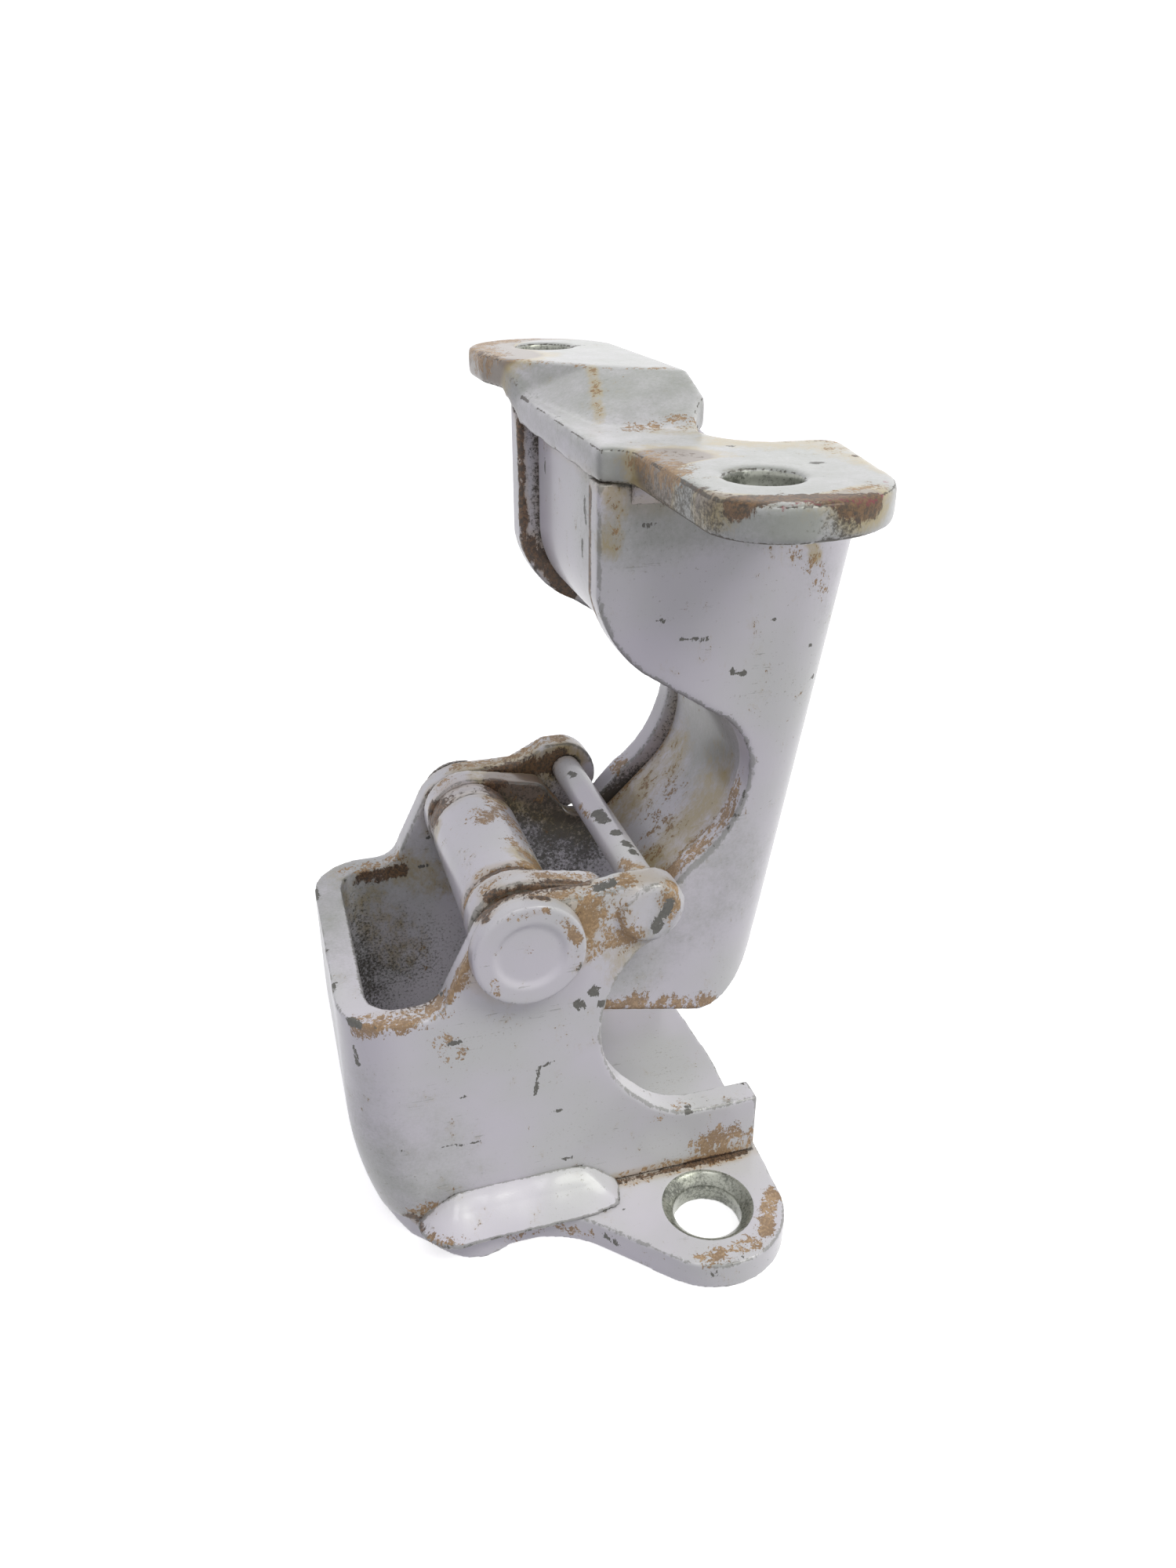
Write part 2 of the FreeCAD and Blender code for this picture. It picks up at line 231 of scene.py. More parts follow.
def body_paint():
    """White body paint, sprayed over ochre primer on steel: glossy and clean in the open, with
    scuffed edges, primer showing where it has chipped, rust in the seams, grime and painted shade in the
    pockets, and dust, partly painted shade."""
    material = bpy.data.materials.new("sprayed_white_body_paint")
    material.use_nodes = True
    tree = material.node_tree
    tree.nodes.clear()
    place = add(tree, "TexCoord").outputs["Object"]
    fields = {name: add(tree, "Attribute", {"attribute_name": name}).outputs["Fac"] for name in FIELDS}

    def fine(size_mm, detail=4.0, rough=0.6, distort=0.0, stretch=(1, 1, 1)):
        where = add(tree, "Mapping", {"Scale": stretch}, Vector=place).outputs[0]
        return add(tree, "TexNoise", {"Scale": 1 / (size_mm * MM), "Detail": detail, "Roughness": rough,
                                      "Distortion": distort}, Vector=where).outputs["Fac"]

    def calc(operation, a, b):
        made = add(tree, "Math", {"operation": operation})
        for socket, value in ((0, a), (1, b)):
            if isinstance(value, (int, float)):
                made.inputs[socket].default_value = value
            else:
                tree.links.new(value, made.inputs[socket])
        return made.outputs[0]

    def total(*terms):
        """Sum of weighted fields; a weighted noise counts from its middle."""
        result = None
        for field, weight, middle in terms:
            term = calc("MULTIPLY", calc("SUBTRACT", field, middle) if middle else field, weight)
            result = term if result is None else calc("ADD", result, term)
        return result

    def step(value, low, high):
        """0 below low and 1 above high, with a soft rise between."""
        return add(tree, "MapRange", {"interpolation_type": "SMOOTHSTEP", 1: low, 2: high},
                   in0=value).outputs[0]

    def blend(factor, a, b, amount=1.0):
        made = add(tree, "Mix", {"data_type": "RGBA"})
        if amount != 1.0:
            factor = calc("MULTIPLY", factor, amount)
        tree.links.new(factor, made.inputs[0])
        for socket, value in ((6, a), (7, b)):
            if isinstance(value, str):
                made.inputs[socket].default_value = srgb(value)
            else:
                tree.links.new(value, made.inputs[socket])
        return made.outputs[2]

    cloud = fine(20.0, 3.0, 0.5)                            # slow drift of the white
    patch = fine(4.5, 5.0, 0.62)                            # larger worn flakes
    flake = fine(1.2, 4.0, 0.75, 0.8, (1.0, 1.0, 0.5))      # ragged outline of a flake
    grit = fine(0.5, 3.0, 0.75)                             # dirt specks
    hair = fine(0.8, 3.0, 0.65, 0.3, (0.10, 1.0, 1.8))      # rub marks, mostly level
    drawn = add(tree, "Mapping", {"Scale": (0.6, 1.0, 1.5)}, Vector=place).outputs[0]
    cell = add(tree, "TexVoronoi", {"Scale": 1 / (6.5 * MM), "Randomness": 1.0},
               Vector=drawn).outputs["Distance"]              # one stone chip to a cell

    paint = blend(step(cloud, 0.35, 0.7), "#D8D4DC", "#D0D0D0")
    aged = step(total((fields["seam"], 1.0, 0), (patch, 0.9, 0.5), (fields["rusty"], 0.8, 0),
                      (fields["bare"], 0.5, 0)), 0.45, 1.15)
    paint = blend(aged, paint, "#B9A583", 0.5)
    speck = step(total((grit, 1.0, 0), (cloud, 0.3, 0.5), (hair, 0.35, 0.5)), 0.66, 0.74)
    paint = blend(speck, paint, "#8C8578", 0.5)
    rub = step(total((hair, 1.0, 0), (patch, 0.8, 0.5)), 0.72, 0.78)
    paint = blend(rub, paint, "#8A8A86", 0.45)
    nicks = step(total((cell, -1.0, 0), (flake, 0.35, 0.5), (cloud, 0.5, 0.5)), -0.036, -0.026)
    # grey-green dust; some of its marks are painted shade laid over places that lie in shade
    dust_and_shade_mix = step(total((fields["dust_and_shade"], 1.0, 0), (grit, 0.5, 0.5), (patch, 0.7, 0.5)), 0.05, 0.95)
    paint = blend(dust_and_shade_mix, paint, "#7D8374", 0.72)

    # brown stain, thin enough to see the white through it
    stain = step(total((fields["stained"], 1.0, 0), (patch, 1.1, 0.5), (flake, 0.9, 0.5)), 0.10, 0.75)
    paint = blend(stain, paint, blend(step(fields["stained"], 0.6, 0.9), "#B09C63", "#6B5233"), 0.85)

    # grime in pockets, with painted shade: darker the more the metal shuts a place in, in specks that run
    # together where it shuts it in most
    grime_and_shade = step(total((fields["shelter"], 1.2, 0), (fields["grimy"], 1.0, 0), (grit, 1.7, 0.5),
                       (patch, 0.6, 0.5)), 0.60, 1.05)
    paint = blend(grime_and_shade, paint, "#3C352A", 0.88)

    # thin scuffed line along outer edges
    scuff = step(total((fields["edge"], 1.0, 0), (flake, 1.4, 0.5), (patch, 0.8, 0.5)), 0.36, 0.58)
    paint = blend(scuff, paint, "#7B7B74", 0.65)

    # ochre primer where the paint has flaked
    worn = total((fields["bare"], 1.0, 0), (patch, 2.0, 0.5), (flake, 2.6, 0.5), (grit, 1.6, 0.5))
    primer = step(worn, 0.66, 0.78)
    ochre = blend(step(total((grit, 1.0, 0), (patch, 0.7, 0.5)), 0.40, 0.62), "#B8966A", "#8F6F48")
    coat = blend(primer, paint, ochre, 0.9)

    # brown rust in seams and in the middle of deep patches
    rust = step(total((fields["rusty"], 1.0, 0), (fields["seam"], 0.2, 0), (flake, 2.0, 0.5),
                      (patch, 1.6, 0.5), (grit, 0.6, 0.5)), 0.55, 0.82)
    browns = blend(step(total((grit, 1.0, 0), (flake, 0.6, 0.5)), 0.38, 0.62), "#735333", "#38291D")
    coat = blend(rust, coat, browns, 0.92)
    smear = step(total((fields["red"], 1.0, 0), (flake, 2.2, 0.5), (grit, 1.4, 0.5)), 0.55, 0.85)
    coat = blend(smear, coat, "#86303A", 0.75)

    # dark steel in chips
    chip = step(total((fields["chipped"], 1.0, 0), (flake, 2.6, 0.5), (patch, 0.5, 0.5)), 0.62, 0.68)
    nick = step(total((fields["edge"], 0.9, 0), (flake, 2.6, 0.5), (patch, 2.4, 0.5)), 1.05, 1.1)
    chip = calc("MAXIMUM", calc("MAXIMUM", chip, nick), nicks)
    coat = blend(chip, coat, blend(grit, "#3F3F3B", "#77756E"))
    turned = step(fields["steel"], 0.45, 0.55)
    greys = blend(step(total((grit, 1.0, 0), (patch, 1.0, 0.5)), 0.4, 0.7), "#A2A499", "#63655C")
    coat = blend(turned, coat, greys)

    dull = calc("MAXIMUM", calc("MAXIMUM", primer, rust), calc("MAXIMUM", grime_and_shade, chip))
    rough = add(tree, "Mix", {"data_type": "FLOAT", 2: 0.30, 3: 0.70}, in0=dull).outputs[0]
    height = total((primer, -0.6, 0), (chip, -0.8, 0), (rust, 0.4, 0), (grit, 0.12, 0), (flake, 0.15, 0))
    bump = add(tree, "Bump", {"Strength": 0.5, "Distance": 0.15 * MM}, Height=height).outputs[0]
    shader = add(tree, "BsdfPrincipled", {"IOR": 1.5, "Coat Weight": 0.22, "Coat Roughness": 0.1},
                 Base_Color=coat, Roughness=rough, Normal=bump,
                 Metallic=calc("MULTIPLY", turned, 0.4))
    add(tree, "OutputMaterial", Surface=shader.outputs[0])
    return material


paint_white = body_paint()


def paint_over(piece):
    """Gives a piece the sprayed paint; a field that it has no marks in is empty."""
    for name in FIELDS:
        if name not in piece.data.attributes:
            put(piece.data, name, np.zeros(len(piece.data.vertices)))
    piece.data.materials.clear()
    piece.data.materials.append(paint_white)
    return piece


def around_hole(piece, field, holes, radius):
    """Marks a disc round each hole, in millimetres, with a soft side."""
    co = np.zeros(len(piece.data.vertices) * 3)
    piece.data.vertices.foreach_get("co", co)
    co = co.reshape(-1, 3) / MM
    values = np.zeros(len(co))
    for x, y in holes:
        d = np.hypot(co[:, 0] - x, co[:, 1] - y)
        values = np.maximum(values, np.clip((radius - d) / 0.6 + 0.5, 0, 1))
    put(piece.data, field, values)


plate = worn_piece("base_plate_painted", "base_plate", "bracket")
around_hole(plate, "steel", ((27.3, -34.0), (27.3, 34.0)), 7.5)
mark(plate, "bare", ((22, -44, 5), (31, -43.5, 5), 1.7, 0.85), ((34, -41.5, 5), (38.4, -35, 5), 1.6, 1),
     ((14, -26.0, 5), (37, -25.8, 5), 0.9, 0.6), ((-22, -17, 5), (-18, -23, 5), 1.4, 0.9),
     ((-6, -28, 2), (12, -33, 2), 1.6, 0.6), ((20, 43, 5), (33, 42, 5), 2.0, 0.8),
     ((14, 26.5, 5), (30, 26, 5), 1.4, 0.8))
mark(plate, "rusty", ((-27.5, -14, 5), (-25.5, -21, 5), 0.8, 1.1),
     ((-25.5, -21, 5), (-18, -25.5, 5), 0.8, 1.1), ((14, -25.4, 5), (38, -25.2, 5), 0.6, 0.9),
     ((-19, -24, 4.5), (-15, -25.5, 5), 1.8, 0.9), ((24, -34, 0), (24, -34, 0), 2, 0.4),
     ((14, 25.6, 5), (38, 25.4, 5), 1.0, 0.9))
soil(plate, ((-8, 0, 14), 22, 0.9))
mark(plate, "chipped", ((21.5, -46.6, 3.5), (23.5, -46.8, 3.0), 1.1, 1),
     ((10, -33.6, 3), (13, -36, 2), 1.0, 0.8))
paint_over(plate)


# ---- Bracket channel ----------------------------------------------------------------------
# Two cheeks and a web bent from one 4.5 mm sheet, stood on the base plate and welded to it. The
# open box fills with road dirt, and the paint is rubbed through round the pivot.

bracket = worn_piece("bracket_painted", "bracket_channel", "bracket")
mark(bracket, "bare", ((11.7, -25, 58), (14.5, -25, 54.5), 3.2, 0.85),
     ((9.5, -25, 60.5), (10, -25, 53), 2.4, 0.9), ((-13.5, -25, 41), (-11.5, -25, 38), 2.2, 0.7),
     ((29, -25, 9), (38, -25, 8), 2.6, 0.8), ((33, -25, 11), (35, -25, 10), 2.8, 0.7),
     ((14, -25, 5.8), (38, -25, 5.8), 1.2, 0.8), ((21.5, -25.5, 57), (22, -25.5, 61), 1.9, 0.9),
     ((-25, -22.5, 45), (-13, -23.5, 45.8), 2.6, 0.8),
     ((-11.5, -24.5, 49), (-6, -24.5, 58.5), 1.5, 0.9), ((-19, -25, 8), (-15, -25, 7), 2.0, 0.8),
     ((2, -23, 62), (16, -23, 63), 2.0, 0.8), ((-22, 21, 45), (-12, 22, 46), 1.8, 0.8),
     ((0, 23, 62), (18, 23, 65), 2.4, 0.75), ((20, -25, 17), (27, -23, 17), 1.2, 0.7),
     ((-11, 25, 30), (-8, 25, 22), 3.5, 0.7), ((12, 25, 55), (16, 25, 52), 3.5, 0.8))
mark(bracket, "rusty", ((-27.5, -14, 5.2), (-25, -22, 5.2), 0.5, 1.1),
     ((-25, -22, 5.2), (-18, -25, 5.2), 0.5, 1.1), ((-6, -20.8, 60), (10, -20.6, 61.5), 1.8, 1),
     ((-7, -25, 58), (0, -25, 62), 1.4, 0.6), ((8, 20.6, 60), (17, 20.8, 62), 2.6, 0.95),
     ((-5, 20.6, 58), (8, 20.6, 61), 1.6, 0.9), ((-22, -20.5, 44), (-12, -20.5, 45), 1.6, 0.7),
     ((-20, 20.5, 43), (-12, 20.6, 44), 1.6, 0.9), ((13.6, -25, 5.1), (38, -25, 5.1), 0.55, 0.9),
     ((-21, -24, 5.5), (-16, -25, 5.5), 1.4, 0.9), ((-18.0, -20.5, 12), (-12, -20.5, 40), 2.0, 0.5))
mark(bracket, "chipped", ((10.3, -25, 45), (10.3, -25, 45), 1.2, 1),
     ((7.9, -25, 43.2), (8.2, -25, 42.4), 0.9, 1), ((11.6, -25, 42.5), (11.6, -25, 42.4), 0.7, 1),
     ((21.6, -25.6, 59.5), (19.6, -26, 55.5), 1.1, 1), ((11.5, -23.4, 62), (13.5, -23.0, 62.3), 1.2, 1),
     ((-27.5, 16, 44.6), (-27.5, 14, 44.6), 0.9, 1), ((-27.5, -2.5, 44.4), (-27.5, -3.5, 44.0), 0.9, 1),
     ((-27.4, -12, 44.6), (-27.5, -13.5, 44), 0.9, 1), ((-26, -21, 44.6), (-24.8, -22.4, 44.8), 0.9, 1),
     ((-25.9, -21.5, 40), (-25.6, -22, 37), 0.6, 0.9), ((4.4, -25, 33.3), (1.5, -25, 32.4), 0.36, 0.85),
     ((1.5, -25, 32.4), (0.8, -25, 27.4), 0.42, 0.9),
     ((-14.1, -25, 20.5), (-8.5, -25, 19.9), 0.26, 0.8), ((27, -24.9, 16.8), (27, -24, 16.8), 0.8, 1))
# The long stroke over the web is painted shade: it greys the side that faces away from the lamps.
mark(bracket, "dust_and_shade", ((-29, -18, 6), (-29, 18, 44), 20, 0.62), ((22, -25, 60), (20, -25.5, 54), 3, 0.5))
soil(bracket, ((-10, 0, 24), 22, 1.0), ((12, 0, 30), 20, 0.3))
mark(bracket, "stained", ((-22, 20, 42), (-14, 20.5, 28), 5, 0.35),
     ((-12, 20.5, 44), (-4, 20.5, 40), 4, 0.35), ((-23, 10, 40), (-23, 12, 20), 4, 0.4),
     ((2, 20.5, 60), (18, 20.5, 62), 5, 0.6), ((10, -25, 58), (16, -25, 50), 5, 0.35))
paint_over(bracket)


# ---- Base welds ---------------------------------------------------------------------------
# One thick bead of weld along the foot of each cheek, laid by hand, so its crown is lumpy and
# its toe spreads over the plate. The paint has flowed over it and hides its ripples.

def lumpy(amount, size, swell, toe=0.0):
    """Shape of a hand-laid bead: swollen a little into what it joins, uneven along its crown, and
    with its toe run out over the plate."""
    def change(mesh):
        moves = []
        for v in mesh.vertices:
            wave = noise.fractal(v.co / (size * MM), 1.0, 2.0, 2)
            low = max(0.0, 1 - (v.co.z / MM - 5.0) / 3.5) * toe
            out = Vector((v.normal.x, v.normal.y, 0)) * low
            spot = v.co + (v.normal * (swell + amount * wave) + out) * MM
            past, side = v.co.x / MM - 8, abs(v.co.y / MM) - 25
            if toe and past > 0 and side > 0:          # the last stop of the weld squares off its end
                corner = 0.5 * (math.hypot(past, side) / max(past, side) - 1)
                spot += Vector((past, math.copysign(side, v.co.y), 0)) * corner * MM
            moves.append(spot)
        for v, place in zip(mesh.vertices, moves):
            v.co = place
        mesh.update()
    return change


for side, flip in (("near", 1), ("far", -1)):
    bead = worn_piece("base_weld_" + side + "_painted", "base_weld_" + side, "bracket", 0.35, 4,
                      lumpy(0.34, 8.0, 0.30, 1.4))
    for field in ("seam", "shelter"):
        put(bead.data, field, np.zeros(len(bead.data.vertices)))
    mark(bead, "bare", ((-17, -29 * flip, 5.2), (-13, -30 * flip, 5.2), 1.6, 0.8))
    mark(bead, "rusty", ((-18, -26 * flip, 5.2), (-16, -28 * flip, 5.2), 1.5, 0.9))
    paint_over(bead)


# ---- Pivot pin and stop pin ---------------------------------------------------------------
# The pivot pin is a turned steel pin with a low dished head, put in from the near side and
# riveted over at the far side. The stop pin is a plain round bar let into both cheeks.

pin = worn_piece("pivot_pin_painted", "pivot_pin", "bracket", 0.3, 3)
mark(pin, "bare", ((5.0, -27.8, 60.5), (7.0, -27.8, 57.0), 1.0, 0.8),
     ((-3, -27.8, 62.2), (2, -27.8, 62.8), 0.7, 0.7), ((-5, -27.8, 50), (-5.5, -27.8, 52), 0.8, 0.6))
mark(pin, "rusty", ((-6, -25.5, 61.5), (3, -25.5, 63.8), 0.9, 0.9))
mark(pin, "grimy", ((-7, 26, 55), (4, 26, 61), 4, 0.5))
paint_over(pin)

stop = worn_piece("stop_pin_painted", "stop_pin", "bracket", 0.25, 2)
mark(stop, "chipped", ((18.0, -1.5, 62.4), (18.4, -4.0, 62.4), 1.3, 1),
     ((18.8, -8.5, 62.4), (19, -9, 62.4), 0.9, 1), ((19.3, -12.3, 62.4), (19.5, -13, 62.4), 0.9, 1),
     ((19.6, -15, 62.3), (19.7, -15.6, 62.3), 0.8, 1), ((18, 14, 62.4), (18.3, 13, 62.4), 0.8, 0.9))
mark(stop, "bare", ((17.5, -17, 61.6), (18.4, -19.5, 62), 1.5, 0.9),
     ((17, 4, 61), (17.4, -4, 61), 0.7, 0.6))
paint_over(stop)


# ---- Arm channel --------------------------------------------------------------------------
# The gooseneck: two shaped cheeks and a rounded web bent from one 4.5 mm sheet. Its edges are
# sheared, so the paint is thin there and has worn to a grey line.

arm = worn_piece("arm_painted", "arm_channel", "arm")
mark(arm, "bare", ((14, -19.6, 37.2), (31, -19.6, 34), 2.2, 0.85), ((33, -17, 80), (35, -17, 70), 1.6, 0.8),
     ((34, -17, 68), (25, -17, 58), 1.8, 0.9), ((38, -19.7, 117), (46, -18, 103), 2.6, 0.5),
     ((12, -17.5, 60.8), (20, -17.5, 54), 1.6, 0.8), ((-4, -17.5, 61), (12, -17.5, 60.8), 1.6, 0.9),
     ((34, 17, 80), (27, 17, 61), 1.8, 0.9), ((-4, 17.5, 61.5), (16, 17.5, 57), 2.0, 0.9),
     ((14, -19.7, 118), (15, -19.7, 112), 1.2, 0.6))
mark(arm, "rusty", ((-4, -19.5, 61), (10, -19.5, 61.5), 1.2, 1), ((-6, 15.5, 58), (6, 15.4, 62), 1.4, 0.9),
     ((12.5, -16, 118), (12.5, -16, 100), 0.9, 1), ((10.5, 15.4, 122), (11, 15.4, 100), 0.8, 1),
     ((11, 15.6, 104), (18, 15.8, 94), 1.6, 0.9), ((16, -18, 56), (22, -18, 54), 1.0, 0.9))
mark(arm, "stained", ((38, -19.6, 117), (44, -19.4, 108), 1.2, 0.55),
     ((14, -19.8, 119), (14, -19.8, 112), 2.0, 0.5), ((6, 16, 62), (16, 16, 58), 5, 0.9),
     ((12, 14, 58), (22, 14, 52), 5, 0.8))
# The stroke along the top of the near cheek, just under the top plate, is painted shade from the plate's
# overhang.
mark(arm, "dust_and_shade", ((18, -19.8, 48), (34, -19.8, 58), 9, 0.35),
     ((16, -19.8, 114), (40, -19.8, 116), 5, 0.6), ((40, -19, 116), (48, -16, 100), 4, 0.3))
soil(arm, ((16, 0, 47), 17, 1.35), ((26, 0, 110), 16, 0.6))
mark(arm, "chipped", ((24, -19.8, 98), (28, -19.8, 97.6), 0.4, 0.8),
     ((32, -19.8, 92.4), (34, -19.8, 91.8), 0.5, 0.85),
     ((20.5, -19.8, 101), (22, -19.8, 100.7), 0.35, 0.7),
     ((35.3, -19.6, 76), (35.3, -19.4, 72), 0.5, 0.9))
paint_over(arm)

liner = worn_piece("arm_liner_painted", "arm_liner", "arm", 0.4, 3)
mark(liner, "bare", ((27, -6, 58.5), (33, 10, 65), 5.0, 0.5), ((24, -12.5, 56), (33, -13.5, 64), 1.6, 0.8),
     ((24, 13.5, 56), (33, 14, 65), 1.6, 0.9), ((36, 14, 80), (36, 14, 68), 1.2, 0.7))
mark(liner, "rusty", ((13, 15, 120), (14, 15, 104), 1.0, 0.9), ((14, 15, 104), (20, 14.8, 94), 1.4, 1),
     ((13, -15.2, 122), (13.5, -15.2, 102), 0.9, 1))
mark(liner, "chipped", ((12.9, 9.5, 117.5), (12.9, 9.5, 115.5), 0.35, 0.9),
     ((12.9, -11, 116), (12.9, -11.5, 113), 0.7, 0.8), ((12.9, -10, 110), (12.9, -10, 108), 0.5, 0.8))
soil(liner, ((16, 0, 47), 14, 0.6))
mark(liner, "stained", ((24, -10, 57), (34, -8, 68), 6, 0.6), ((24, 9, 57), (34, 9, 66), 6, 0.55))
# The wide stroke across the liner's middle (x 36 to 37, z 76 to 86) is painted shade, the band that the
# arm's cheek shades.
mark(liner, "dust_and_shade", ((14, -13, 118), (20, -10, 96), 5, 0.5), ((37, 0, 76), (36, 0, 86), 13, 0.8))
paint_over(liner)

for side in ("near", "far"):
    fillet = worn_piece("plate_weld_" + side + "_painted", "plate_weld_" + side, "arm", 0.3, 4,
                        lumpy(0.12, 2.5, -0.05))
    paint_over(fillet)


# ---- Arm top plate ------------------------------------------------------------------------
# A 4.5 mm plate joggled between its two lobes and welded on top of the arm. The bolts' washers
# kept a disc of paint clean round each hole; outside it the paint is stained and rubbed.

top = worn_piece("arm_top_plate_painted", "arm_top_plate", "arm", 0.4, 24)
around_hole(top, "steel", ((25.5, -39.6), (20.2, 36.6)), 4.65)
mark(top, "bare", ((16.5, -24, 124.3), (15.8, -36, 124.3), 3.2, 0.75),
     ((41, -30, 124.3), (42.5, -24, 124.3), 3.0, 0.7), ((9, 26, 130.2), (9, 38, 130.2), 3.2, 0.9),
     ((10, 41, 130.2), (20, 48, 130.2), 2.6, 0.9), ((21, -9, 125), (30, -10, 125.2), 2.6, 0.6),
     ((17, -5, 124.8), (20.5, 11, 130.2), 0.6, 0.5), ((9, 23, 130.2), (20, 12, 130.2), 0.9, 0.6),
     ((22, 9, 130.2), (32, 4, 130.2), 0.7, 0.6), ((29, -51, 124.3), (34, -48, 124.3), 1.8, 0.6))
mark(top, "rusty", ((15.8, -41, 124.3), (17.5, -47, 124.2), 1.3, 0.7),
     ((18, -50, 123.9), (33, -52.5, 123.6), 1.8, 1.4), ((9, 24, 130.2), (8.5, 32, 130.2), 1.2, 0.7),
     ((36, -21.5, 124.2), (43, -23, 124), 1.1, 0.6), ((41, -33, 124.2), (43, -26, 124), 1.1, 0.6),
     ((11, 10, 127), (9.5, 18, 128), 1.2, 0.8), ((7.8, 36, 128), (9.5, 43, 128), 1.2, 0.6),
     ((19, -24, 124.3), (22, -29, 124.3), 2.0, 0.45))
WASHERS = ((25.5, -39.6, 9.6), (24.5, 36.0, 8.5))
mark(top, "stained", ((19, -27, 124.3), (17, -40, 124.3), 6.5, 1.1),
     ((17, -46, 124.3), (32, -51, 124.3), 4, 0.8), ((30, -20, 124.3), (42, -22, 124.3), 5, 0.6),
     ((41, -26, 124.3), (43, -42, 124.3), 4, 0.6), ((11, 26, 130.2), (11, 40, 130.2), 7, 1.15),
     ((14, 44, 130.2), (25, 48, 130.2), 5, 1.1), ((17, -5, 124.8), (20.5, 11, 130.2), 0.9, 0.45),
     ((24, -12, 124.6), (34, -12, 125), 3.0, 0.4), clear=WASHERS)
mark(top, "grimy", ((14.2, -28, 121.5), (17, -47, 121.5), 3.2, 0.85),
     ((17, -47, 121.5), (30, -54, 121.5), 2.6, 0.8), ((11.5, 12, 126), (8, 26, 127.5), 2.5, 0.5))
mark(top, "red", ((22, -52.6, 123.8), (33, -52.2, 123.8), 0.8, 0.66),
     ((34, -51, 123.8), (37.5, -46, 124), 0.6, 0.6))
mark(top, "dust_and_shade", ((14, -20, 122), (16, -45, 122), 4.5, 0.9),
     ((12, -18, 124.3), (10, 15, 127), 3.0, 0.6), ((16, -46, 122), (24, -54, 122), 3.0, 0.9),
     ((25, -20, 124.3), (38, -24, 124.3), 6, 0.35), ((26, -40, 124.3), (30, -30, 124.3), 22, 0.72),
     ((22, 36, 130.2), (26, 10, 129), 22, 0.72), ((8, 25, 128), (8, 36, 128), 4, 0.8),
     ((10, 16, 127), (8, 24, 128), 3, 0.9))
paint_over(top)


# ---- Barrel -------------------------------------------------------------------------------
# A thick tube welded between the two eyes of the arm; the bushes are pressed in behind it.

barrel = worn_piece("arm_barrel_painted", "arm_barrel", "arm", 0.35, 3)
mark(barrel, "bare", ((-1, 4, 62.4), (0, 2, 62.4), 2.4, 0.8), ((3, 9, 62), (5.5, -6, 59.5), 2.2, 0.72),
     ((3, -6, 62), (6, -12, 60), 2.0, 0.85), ((-4, -13, 61), (5, -13, 61.4), 1.2, 0.9))
mark(barrel, "rusty", ((-6, 10, 58), (4, 10.4, 62), 0.9, 0.9))
mark(barrel, "stained", ((4, -10, 61), (6, -13, 58), 3, 0.8), ((-6, 9, 57), (4, 10, 61), 2, 0.8))
mark(barrel, "dust_and_shade", ((-6, -10, 52), (-6, 8, 54), 3, 0.5))
paint_over(barrel)
for side in ("near", "far"):
    ring = worn_piece("barrel_weld_" + side + "_painted", "barrel_weld_" + side, "arm", 0.3, 3,
                      lumpy(0.2, 2.0, 0.25))
    mark(ring, "bare", ((-6, -14, 58), (7, -14, 60), 3, 0.9))
    mark(ring, "rusty", ((-6, 13, 58), (7, 13, 60), 3, 1.0), ((-2, -14, 61), (7, -14, 58), 3.0, 1.0))
    paint_over(ring)


# ---- Pivot bushes -------------------------------------------------------------------------
# Flanged bearing bushes of bare steel between the arm and the cheeks, brown with old grease.

def greased_steel():
    """Machined bearing steel with a film of old grease over it, brown where the grease is thick."""
    material = bpy.data.materials.new("greased_bare_steel")
    material.use_nodes = True
    tree = material.node_tree
    tree.nodes.clear()
    place = add(tree, "TexCoord").outputs["Object"]
    film = add(tree, "TexNoise", {"Scale": 1 / (2.5 * MM), "Detail": 4.0, "Roughness": 0.6},
               Vector=place).outputs["Fac"]
    smear = add(tree, "MapRange", {"interpolation_type": "SMOOTHSTEP", 1: 0.35, 2: 0.62},
                in0=film).outputs[0]
    colour = add(tree, "Mix", {"data_type": "RGBA", 6: srgb("#7C7A70"), 7: srgb("#5A4128")},
                 in0=smear).outputs[2]
    rough = add(tree, "Mix", {"data_type": "FLOAT", 2: 0.35, 3: 0.6}, in0=smear).outputs[0]
    shader = add(tree, "BsdfPrincipled", {"Metallic": 0.6}, Base_Color=colour, Roughness=rough)
    add(tree, "OutputMaterial", Surface=shader.outputs[0])
    return material


bush_steel = greased_steel()
for side in ("near", "far"):
    bush = nodes["pivot_bush_" + side]
    bush.data.materials.clear()
    bush.data.materials.append(bush_steel)
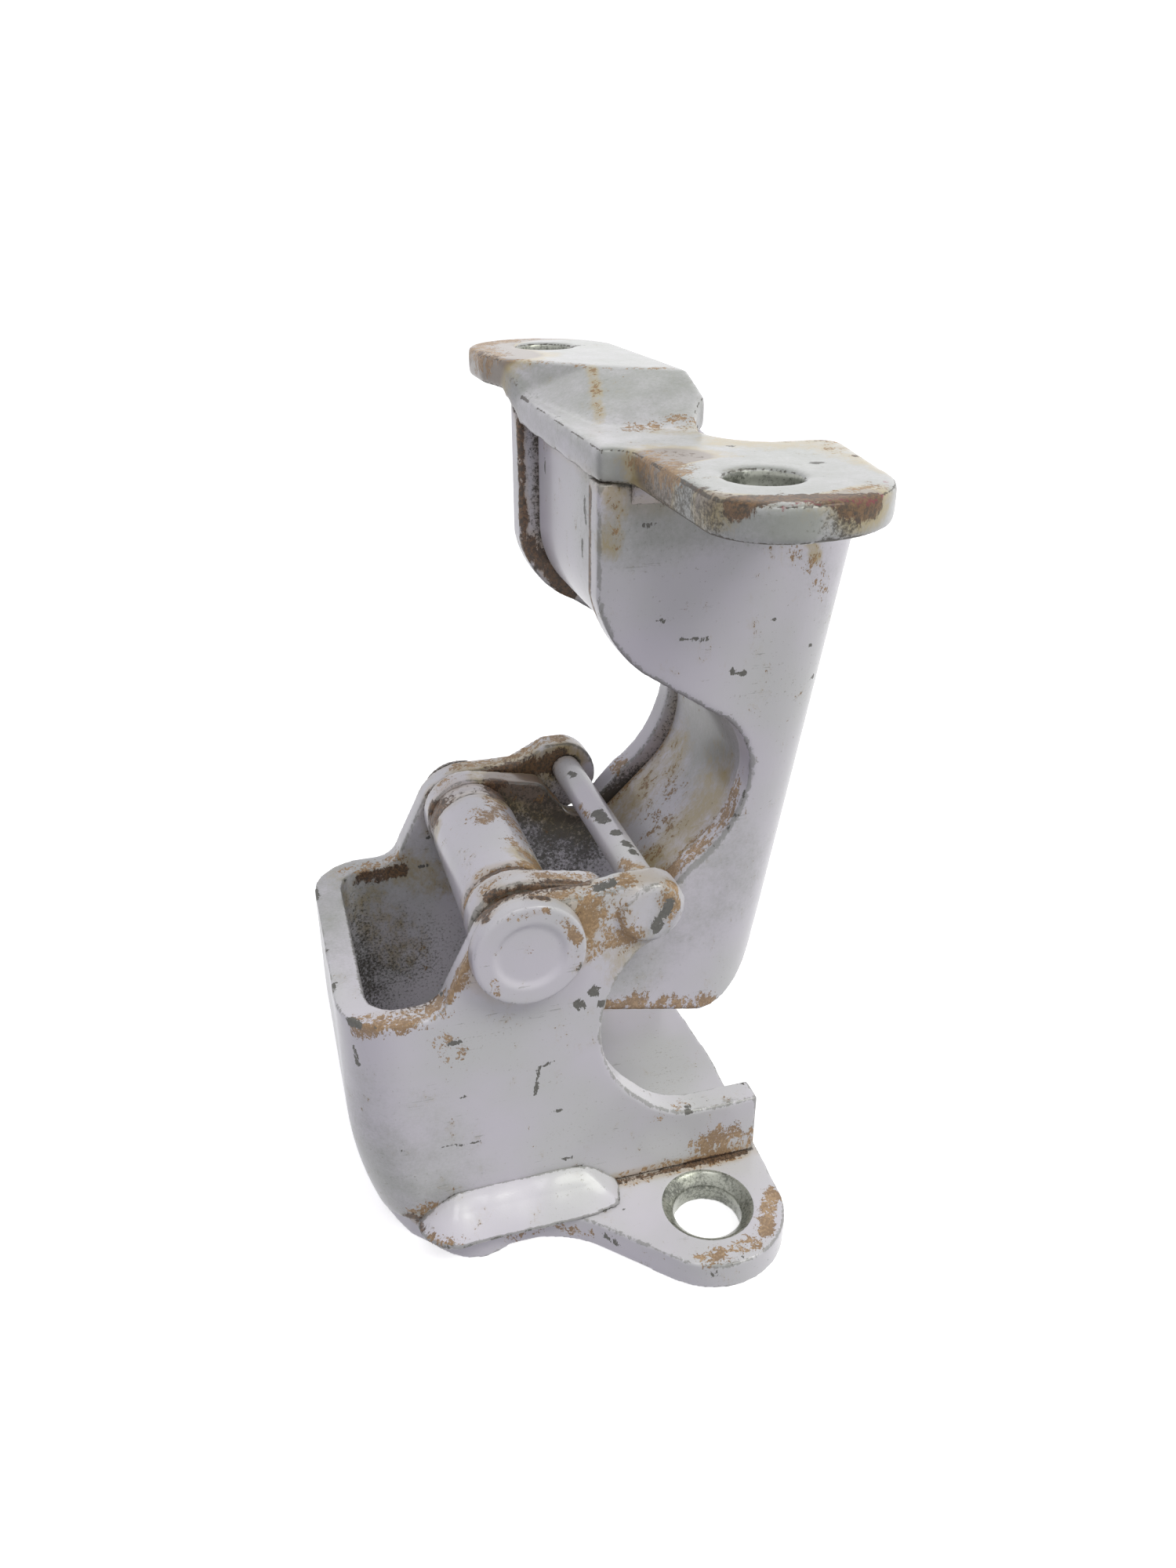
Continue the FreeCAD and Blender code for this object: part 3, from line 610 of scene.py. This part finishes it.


# ---- Floor, light and camera --------------------------------------------------------------
# White paper under and round the hinge, lit by broad soft lamps and glowing with painted light, brighter
# away from the hinge.

def paper_sweep():
    """Round sheet of paper whose rim curves up into a wall on every side."""
    flat, bend, wall = 1.6, 0.8, 3.6
    sheet = bmesh.new()
    profile = [sheet.verts.new((0, 0, 0)), sheet.verts.new((flat, 0, 0))]
    for k in range(1, 9):
        angle = math.radians(k * 90 / 8)
        profile.append(sheet.verts.new((flat + bend * math.sin(angle), 0, bend * (1 - math.cos(angle)))))
    profile.append(sheet.verts.new((flat + bend, 0, wall)))
    edges = [sheet.edges.new(pair) for pair in zip(profile, profile[1:])]
    bmesh.ops.spin(sheet, geom=profile + edges, cent=(0, 0, 0), axis=(0, 0, 1), angle=2 * math.pi, steps=64,
                   use_merge=True)
    bmesh.ops.remove_doubles(sheet, verts=sheet.verts, dist=1e-5)
    bmesh.ops.recalc_face_normals(sheet, faces=sheet.faces)
    facing_down = [face for face in sheet.faces if face.calc_center_median().z < 1e-6 and face.normal.z < 0]
    bmesh.ops.reverse_faces(sheet, faces=facing_down)
    mesh = bpy.data.meshes.new("paper_sweep")
    sheet.to_mesh(mesh)
    sheet.free()
    mesh.polygons.foreach_set("use_smooth", [True] * len(mesh.polygons))
    floor = bpy.data.objects.new("paper_sweep", mesh)
    bpy.context.scene.collection.objects.link(floor)
    material = bpy.data.materials.new("white_paper")
    material.use_nodes = True
    surface = material.node_tree.nodes["Principled BSDF"]
    surface.inputs["Base Color"].default_value = srgb("#F6F6F6")
    surface.inputs["Roughness"].default_value = 0.9
    surface.inputs["Emission Color"].default_value = srgb("#FFFFFF")
    # painted light: the paper glows, at 0.6 within 0.3 m of the hinge and rising to 1.0 at 1.2 m
    spot = add(material.node_tree, "TexCoord").outputs["Object"]
    away = add(material.node_tree, "VectorMath", {"operation": "LENGTH"}, in0=spot).outputs["Value"]
    glow = add(material.node_tree, "MapRange", {1: 0.3, 2: 1.2, 3: 0.6, 4: 1.0}, in0=away).outputs[0]
    material.node_tree.links.new(glow, surface.inputs["Emission Strength"])
    mesh.materials.append(material)
    floor.visible_diffuse = False              # the paper doesn't light the hinge from below


paper_sweep()

world = bpy.data.worlds.new("studio")
bpy.context.scene.world = world
world.use_nodes = True
world.node_tree.nodes["Background"].inputs[0].default_value = srgb("#EFEDF8")
world.node_tree.nodes["Background"].inputs[1].default_value = 0.38


def lamp(name, place, aim, size, watts, colour="#FFFFFF"):
    light = bpy.data.lights.new(name, "AREA")
    light.size, light.energy, light.color = size, watts, srgb(colour)[:3]
    item = bpy.data.objects.new(name, light)
    item.location = place
    item.rotation_euler = (Vector(aim) - Vector(place)).to_track_quat("-Z", "Y").to_euler()
    bpy.context.scene.collection.objects.link(item)


lamp("key_lamp", (0.72, -0.67, 1.28), (0.01, 0, 0.06), 0.70, 11.5, "#FBFDF2")
lamp("top_lamp", (-0.20, -0.62, 1.45), (0.01, 0, 0.06), 0.55, 4.6)

bpy.context.scene.view_settings.view_transform = "Standard"
view = bpy.data.cameras.new("camera")
view.lens, view.sensor_width = 26.73, 36.0
camera = bpy.data.objects.new("camera", view)
bpy.context.scene.collection.objects.link(camera)
bpy.context.scene.camera = camera
right = Vector((0.95693, -0.29030, 0.00318)).normalized()
ahead = Vector((0.26037, 0.85333, -0.45170)).normalized()
above = right.cross(ahead)
camera.matrix_world = Matrix.Translation((-0.03236, -0.16143, 0.15256)) @ Matrix(
    (right, above, -ahead)).transposed().to_4x4()
view.clip_start, view.clip_end = 0.01, 20.0
